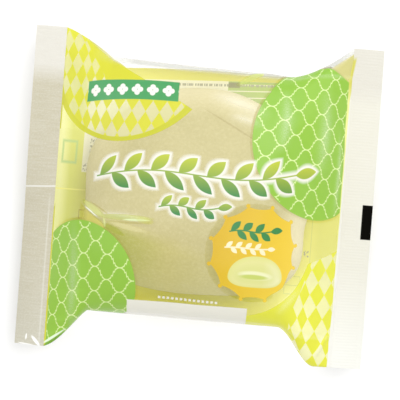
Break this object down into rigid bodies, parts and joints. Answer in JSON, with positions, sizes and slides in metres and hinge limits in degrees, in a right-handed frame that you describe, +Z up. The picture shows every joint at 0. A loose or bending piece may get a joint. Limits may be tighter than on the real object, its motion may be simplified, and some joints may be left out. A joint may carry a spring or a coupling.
{
  "type": "packaged jam bun",
  "caption": "Round jam bun sealed in a printed clear film pillow bag with a flat seal across each end, lying on its back.",
  "frame": {"origin": "on the surface the pack rests on, under the middle of the pack", "axes": "+X along the pack from one sealed band to the other, +Y across it, +Z up through the printed front"},
  "size_m": [0.156, 0.143, 0.045],
  "materials": {
    "film": "glossy clear wrapping film, printed lime and green, milky at the sealed bands",
    "bun": null
  },
  "bodies": {
    "root": {"sealed_bag": "film"}
  },
  "joints": []
}
